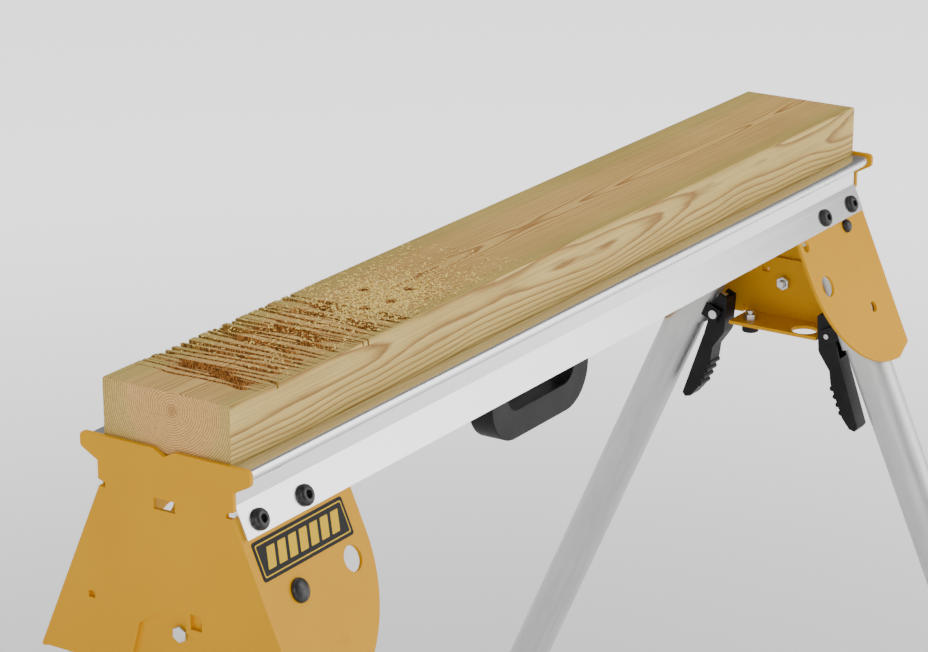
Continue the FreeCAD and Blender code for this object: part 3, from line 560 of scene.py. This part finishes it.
def kerf_depth(cut, y):
    """Depth of a cut at y: full in the middle, rising out before its ends."""
    run_out = fade((y - cut["end"]) / RUN_OUT) * fade((cut["start"] - y) / RUN_OUT)
    ripple = 0.85 + 0.3 * noise.noise(Vector((cut["seed"], y * 60, 0)))
    return cut["depth"] * run_out * ripple


def top_line(cuts, y):
    """Points along the timber's top at one y: (x, depth below the top, inside a cut)."""
    length = TIMBER_HIGH.x - TIMBER_LOW.x
    line = [(0.0, END_DROP, False), (EASE, 0.0, False)]
    settled = 0.0
    for cut in cuts:
        deep = kerf_depth(cut, y)
        cutting = fade(deep / (3 * MM))
        wave = 0.5 * MM * noise.noise(Vector((y * 45, cut["seed"], 3)))
        middle = cut["x"] + cut["slope"] * y + wave
        half = cut["width"] / 2 * (0.6 + 0.4 * fade(deep / (2 * MM)))
        broken = max(0.0, noise.noise(Vector((cut["x"] * 70, y * 38, 9))) + 0.12)
        chip = CHIP_DEPTH * broken * cutting
        before = settled
        settled = cut["settle"] * fade((y + 25 * MM) / (70 * MM)) * cutting
        line.append((middle - half - CHIP_REACH, before + chip * 0.5, False))
        line.append((middle - half, before + chip + 0.15 * MM, False))
        line.append((middle - half * 0.9, max(deep, before + chip + 0.2 * MM), True))
        line.append((middle + half * 0.9, max(deep * 0.96, settled + 0.2 * MM), True))
        line.append((middle + half, settled + 0.1 * MM, True))
    last = line[-1][0]
    for step in range(1, PLAIN_STEPS):
        x = last + (length - EASE - last) * step / PLAIN_STEPS
        line.append((x, 0.12 * MM * abs(noise.noise(Vector((x * 30, y * 60, 5)))), False))
    line += [(length - EASE, 0.0, False), (length, END_DROP, False)]
    forward = [line[0]]
    for x, deep, inside in line[1:]:
        forward.append((max(x, forward[-1][0] + 0.05 * MM), deep, inside))
    return forward


def timber_shape():
    """Closed timber: scored top, eased long edges, plain sides, ends and bottom."""
    cuts = kerf_list()
    shape = bmesh.new()
    half = TIMBER_HIGH.y
    flat = half - EASE
    grid = []
    for step in range(TOP_STRIPS + 1):
        y = -flat + 2 * flat * step / TOP_STRIPS
        row = []
        for x, deep, inside in top_line(cuts, y):
            row.append(shape.verts.new((TIMBER_LOW.x + x, y, TIMBER_HIGH.z - deep)))
        grid.append(row)
    edges = []
    for sign in (-1, 1):
        upper = []
        lower = []
        for x, deep, inside in top_line(cuts, sign * flat):
            upper.append(shape.verts.new((TIMBER_LOW.x + x, sign * half, TIMBER_HIGH.z - max(deep, EASE))))
            lower.append(shape.verts.new((TIMBER_LOW.x + x, sign * half, TIMBER_LOW.z)))
        edges.append((upper, lower))
    columns = [edges[0][1], edges[0][0]] + grid + [edges[1][0], edges[1][1]]
    in_cut = [inside for x, deep, inside in top_line(cuts, flat)]
    for near, far in zip(columns, columns[1:]):
        on_top = near in grid and far in grid
        for index in range(len(in_cut) - 1):
            face = shape.faces.new((near[index], near[index + 1], far[index + 1], far[index]))
            face.material_index = 1 if on_top and in_cut[index + 1] else 0
    first, last = columns[0], columns[-1]
    for index in range(len(in_cut) - 1):
        shape.faces.new((last[index], last[index + 1], first[index + 1], first[index]))
    shape.faces.new([column[0] for column in columns])
    shape.faces.new([column[-1] for column in reversed(columns)])
    bmesh.ops.recalc_face_normals(shape, faces=shape.faces)
    return shape


def drill(target, material):
    """Cut the drilled holes out of the timber and apply the cut."""
    shape = bmesh.new()
    above = 4
    narrowing = ((0.0, 0), (0.0, -4.6), (0.5, -6.5), (0.6, -30))
    rings = [(HOLE_RADIUS - narrower, height, False) for narrower, height in narrowing]
    for x, y in DRILLED:
        centre = Vector((TIMBER_LOW.x + x, y, TIMBER_HIGH.z + above * MM))
        lathe(shape, centre, Vector((0, 0, 1)), rings, steps=24)
    bmesh.ops.recalc_face_normals(shape, faces=shape.faces)
    cutter = object_from("drill_cutter", shape, [material])
    hole = target.modifiers.new("drilled", "BOOLEAN")
    hole.operation = "DIFFERENCE"
    hole.solver = "EXACT"
    hole.object = cutter
    hole.material_mode = "TRANSFER"
    bpy.context.view_layer.update()
    evaluated = target.evaluated_get(bpy.context.evaluated_depsgraph_get())
    target.data = bpy.data.meshes.new_from_object(evaluated)
    target.modifiers.clear()
    bpy.data.objects.remove(cutter)


def make_timber():
    wood = timber_wood("softwood_timber", PITH)
    sawn = timber_wood("sawn_softwood", PITH, sawn=True)
    timber = object_from("timber_scored", timber_shape(), [wood, sawn], smooth_angle=25)
    drill(timber, sawn)
    stand_for(timber, "sacrificial_timber")


# ---- sawdust ---------------------------------------------------------------------------------

CHIP_TRIES = 5200
LOOSE_EVERY = 4                      # one chip in this many lies anywhere, the rest lie by a hole
DUST_HALF_WIDTH = 46 * MM
HEAP_SPREAD = 20 * MM
# Corners of a chip of size 1: across, along, and whether the corner curls up
CHIP_OUTLINE = ((-0.35, -1, 1), (0.35, -1, 1), (0.4, 0, 0), (0.35, 1, 1), (-0.35, 1, 1), (-0.4, 0, 0))
CHIP_CROWN = Vector((0, 0, 0.35))


def on_timber(x, y):
    """True where a chip would lie on the timber and not over a hole."""
    clear = (HOLE_RADIUS + 0.2) * MM
    over_hole = any(math.hypot(x - hole_x, y - hole_y) < clear for hole_x, hole_y in DRILLED)
    return abs(y) <= DUST_HALF_WIDTH and not over_hole


def make_sawdust():
    """Loose curled chips on the timber, thickest round the drilled holes."""
    shape = bmesh.new()
    for number in range(CHIP_TRIES):
        if number % LOOSE_EVERY == 0:
            x = rng.uniform(60, 330) * MM
            y = rng.uniform(-44, 44) * MM
        else:
            hole = DRILLED[rng.randrange(len(DRILLED))]
            spread = abs(rng.gauss(0, 1)) * HEAP_SPREAD + 4 * MM
            angle = rng.uniform(0, 2 * math.pi)
            x = hole[0] + spread * 1.5 * math.cos(angle)
            y = hole[1] + spread * math.sin(angle)
        if not on_timber(x, y):
            continue
        size = rng.uniform(0.35, 1.15) * MM
        centre = Vector((TIMBER_LOW.x + x, y, TIMBER_HIGH.z + rng.uniform(0.05, 0.5) * MM + 0.2 * size))
        turn = Matrix.Rotation(rng.uniform(0, 6.28), 3, "Z")
        turn = turn @ Matrix.Rotation(rng.uniform(-0.7, 0.7), 3, "X")
        curl = rng.uniform(0.1, 0.45)
        corners = []
        for across, along, curled in CHIP_OUTLINE:
            corners.append(shape.verts.new(centre + turn @ Vector((across, along, curl * curled)) * size))
        crown = shape.verts.new(centre + turn @ CHIP_CROWN * size)
        for index in range(len(corners)):
            shape.faces.new((corners[index], corners[(index + 1) % len(corners)], crown))
        shape.faces.new(reversed(corners))
    dust = object_from("sawdust_chips", shape, [sawdust_material()])
    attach(dust, "timber")


# ---- label -----------------------------------------------------------------------------------

# All in millimetres. Layers are (inset from the plate's edge, height, corner radius, ink)
LABEL_LAYERS = ((0.0, 0.30, 2.0, 0), (2.2, 0.36, 1.2, 1), (3.0, 0.39, 1.0, 0))
BAR_COUNT = 7
BAR_ENDS = 8                         # from the plate's ends to the row of bars
BAR_INSET = 6                        # from the plate's long edges to the bars
BAR_GAP = 1.6                        # bare label on each side of a bar
BAR_LAYER = {"thick": 0.45, "corner": 0.6, "ink": 1, "lean": 0.35}
CORNER_STEPS = 4


def panel(shape, place, left, right, low, high, thick, corner, ink, lean=0.0):
    """Flat plate with rounded corners; lean slants its ends."""
    outline = []
    for across, up, start in ((right, high, 0), (left, high, 90), (left, low, 180), (right, low, 270)):
        inward_x = -corner if across == right else corner
        inward_z = -corner if up == high else corner
        for step in range(CORNER_STEPS + 1):
            angle = math.radians(start + 90 * step / CORNER_STEPS)
            x = across + inward_x + corner * math.cos(angle)
            z = up + inward_z + corner * math.sin(angle)
            outline.append((x + lean * z, z))
    under = [shape.verts.new(place @ (Vector((x, 0, z)) * MM)) for x, z in outline]
    over = [shape.verts.new(place @ (Vector((x, thick, z)) * MM)) for x, z in outline]
    faces = [shape.faces.new(over), shape.faces.new(list(reversed(under)))]
    for index in range(len(outline)):
        following = (index + 1) % len(outline)
        faces.append(shape.faces.new((under[index], under[following], over[following], over[index])))
    for face in faces:
        face.material_index = ink


def make_labels():
    """Black plate with a plain yellow frame and a row of slanted bars."""
    shape = bmesh.new()
    for island in islands("label_plates"):
        side = side_of(island)
        normal = wing_normal(side)
        along = Vector((1, 0, 0)) if side == "right" else Vector((-1, 0, 0))
        up = normal.cross(along)
        if up.z < 0:
            up.negate()
        middle = sum(island, Vector()) / len(island)
        middle -= normal * (middle.dot(normal) - min(point.dot(normal) for point in island))
        place = Matrix.Translation(middle) @ Matrix((along, normal, up)).transposed().to_4x4()
        half_width = (max(point.x for point in island) - min(point.x for point in island)) / 2 / MM
        half_height = max((point - middle).dot(up) for point in island) / MM
        for inset, thick, corner, ink in LABEL_LAYERS:
            wide = half_width - inset
            tall = half_height - inset
            panel(shape, place, -wide, wide, -tall, tall, thick, corner, ink)
        pitch = 2 * (half_width - BAR_ENDS) / BAR_COUNT
        tall = half_height - BAR_INSET
        for number in range(BAR_COUNT):
            start = -half_width + BAR_ENDS + pitch * number
            panel(shape, place, start + BAR_GAP, start + pitch - BAR_GAP, -tall, tall, **BAR_LAYER)
    bmesh.ops.recalc_face_normals(shape, faces=shape.faces)
    inks = [vinyl("label_black", (0.008, 0.008, 0.009)), vinyl("label_yellow", (0.74, 0.46, 0.0))]
    stand_for(object_from("label_printed", shape, inks), "label_plates")


# ---- structure -------------------------------------------------------------------------------

def make_structure():
    """Every metal, plastic and rubber piece. The widths are edge roundings in millimetres."""
    yellow = yellow_paint()
    aluminium = extruded_aluminium()
    tube = drawn_aluminium()
    plastic = black_plastic()
    rubber = black_rubber()
    oxide = black_oxide()
    zinc = zinc_steel()
    softened("beam_extrusion", aluminium, width=0.45, limit=25)
    softened("carry_handle", plastic, width=5.5, segments=6, limit=40)
    for end in ENDS:
        softened("end_bracket_" + end, yellow, width=0.8, segments=3)
        softened("inner_brace_" + end, yellow, width=0.8, segments=3)
        softened("rubber_bumper_" + end, rubber, width=1.0, segments=3)
        for node in ("brace_bolts_", "brace_nuts_", "pivot_nuts_", "clinch_nuts_"):
            softened(node + end, zinc, width=0.35)
        turned_fasteners("skirt_screws_" + end, oxide, SKIRT_SCREW)
    turned_fasteners("pivot_bolts_a", oxide, PIVOT_BOLT_A)
    turned_fasteners("pivot_bolts_b", oxide, PIVOT_BOLT_B)
    dress("handle_screws", zinc)
    for leg in LEGS:
        softened("leg_tube_" + leg, tube, width=0.25, limit=40)
        softened("top_plug_" + leg, plastic, width=0.6, segments=3, limit=40)
        softened("rubber_foot_" + leg, rubber, width=1.4, segments=4, limit=40)
        saddle = softened("lever_saddle_" + leg, tube, width=0.5, segments=3)
        blacken_ears(saddle, leg, plastic)
        softened("squeeze_lever_" + leg, plastic, width=2.2, segments=5)
        softened("lock_plunger_" + leg, zinc, width=0.4, limit=40)
        dress("fulcrum_pin_" + leg, zinc)
        dress("lever_spring_" + leg, zinc)


# ---- stage -----------------------------------------------------------------------------------

FLOOR_HALF = 12.0
GLOW = {"From Min": 0.6, "From Max": 3.0, "To Max": 1.5}      # metres from the middle, and strength
WORLD_STRENGTH = 0.28
# Grey level of the surround by height, from straight down at 0 to straight up at 1
WORLD_LEVELS = ((0.0, 0.5), (0.5, 0.35), (0.62, 0.6), (0.8, 1.0), (1.0, 1.0))
SENSOR = 36.0
LENS = 120.65
CAMERA_PLACE = (-1.7584, -1.0862, 1.3869)
CAMERA_YAW = 0.57572                 # radians from the beam's own direction
CAMERA_PITCH = 0.32583               # radians below the horizon
CAMERA_REACH = 60.0


def make_floor():
    """Plain pale floor that glows softly away from the object, as a lit studio sweep does."""
    shape = bmesh.new()
    bmesh.ops.create_grid(shape, x_segments=1, y_segments=1, size=FLOOR_HALF)
    shader = Shader("pale_floor", roughness=0.85, specular=0.2)
    shader.colour((0.9, 0.9, 0.9))
    distance = shader.node("ShaderNodeVectorMath", operation="LENGTH")
    shader.join(shader.place, distance.inputs[0])
    glow = shader.node("ShaderNodeMapRange", interpolation_type="SMOOTHSTEP")
    shader.fill(glow, {"Value": distance.outputs["Value"], **GLOW})
    shader.join(glow.outputs["Result"], shader.main.inputs["Emission Strength"])
    shader.main.inputs["Emission Color"].default_value = WHITE + (1.0,)
    object_from("floor", shape, [shader.material])


def make_light(name, place, target, energy, size):
    data = bpy.data.lights.new(name, "AREA")
    data.energy = energy
    data.size = size
    made = add_object(name, data)
    made.location = place
    made.rotation_euler = (Vector(target) - Vector(place)).to_track_quat("-Z", "Y").to_euler()


def make_lights():
    """Studio surround, brighter overhead than at the horizon, with a large key, a fill and a top light."""
    world = bpy.data.worlds.new("studio")
    world.use_nodes = True
    tree = world.node_tree
    direction = tree.nodes.new("ShaderNodeTexCoord")
    parts = tree.nodes.new("ShaderNodeSeparateXYZ")
    height = tree.nodes.new("ShaderNodeMapRange")
    height.inputs["From Min"].default_value = -1.0
    sky = tree.nodes.new("ShaderNodeValToRGB")
    points = sky.color_ramp.elements
    while len(points) < len(WORLD_LEVELS):
        points.new(0.5)
    for point, (position, level) in zip(points, WORLD_LEVELS):
        point.position = position
        point.color = (level, level, level, 1.0)
    background = tree.nodes["Background"]
    background.inputs["Strength"].default_value = WORLD_STRENGTH
    tree.links.new(direction.outputs["Generated"], parts.inputs[0])
    tree.links.new(parts.outputs["Z"], height.inputs["Value"])
    tree.links.new(height.outputs["Result"], sky.inputs["Fac"])
    tree.links.new(sky.outputs["Color"], background.inputs["Color"])
    bpy.context.scene.world = world
    make_light("key", place=(1.9, -2.6, 1.7), target=(0, 0, 0.6), energy=92, size=2.9)
    make_light("fill", place=(-2.6, -1.4, 1.9), target=(0, 0, 0.6), energy=34, size=1.4)
    make_light("top", place=(0.3, 0.9, 3.4), target=(0, 0, 0), energy=66, size=2.2)


def make_camera():
    """The photograph's viewing angle: from the near end's right, a little above the timber."""
    data = bpy.data.cameras.new("camera")
    data.sensor_width = SENSOR
    data.lens = LENS
    data.clip_end = CAMERA_REACH
    level = math.cos(CAMERA_PITCH)
    ahead = Vector((math.cos(CAMERA_YAW) * level, math.sin(CAMERA_YAW) * level, -math.sin(CAMERA_PITCH)))
    made = add_object("camera", data)
    made.location = CAMERA_PLACE
    made.rotation_euler = ahead.to_track_quat("-Z", "Y").to_euler()
    bpy.context.scene.camera = made


make_camera()
make_structure()
make_timber()
make_sawdust()
make_labels()
make_floor()
make_lights()
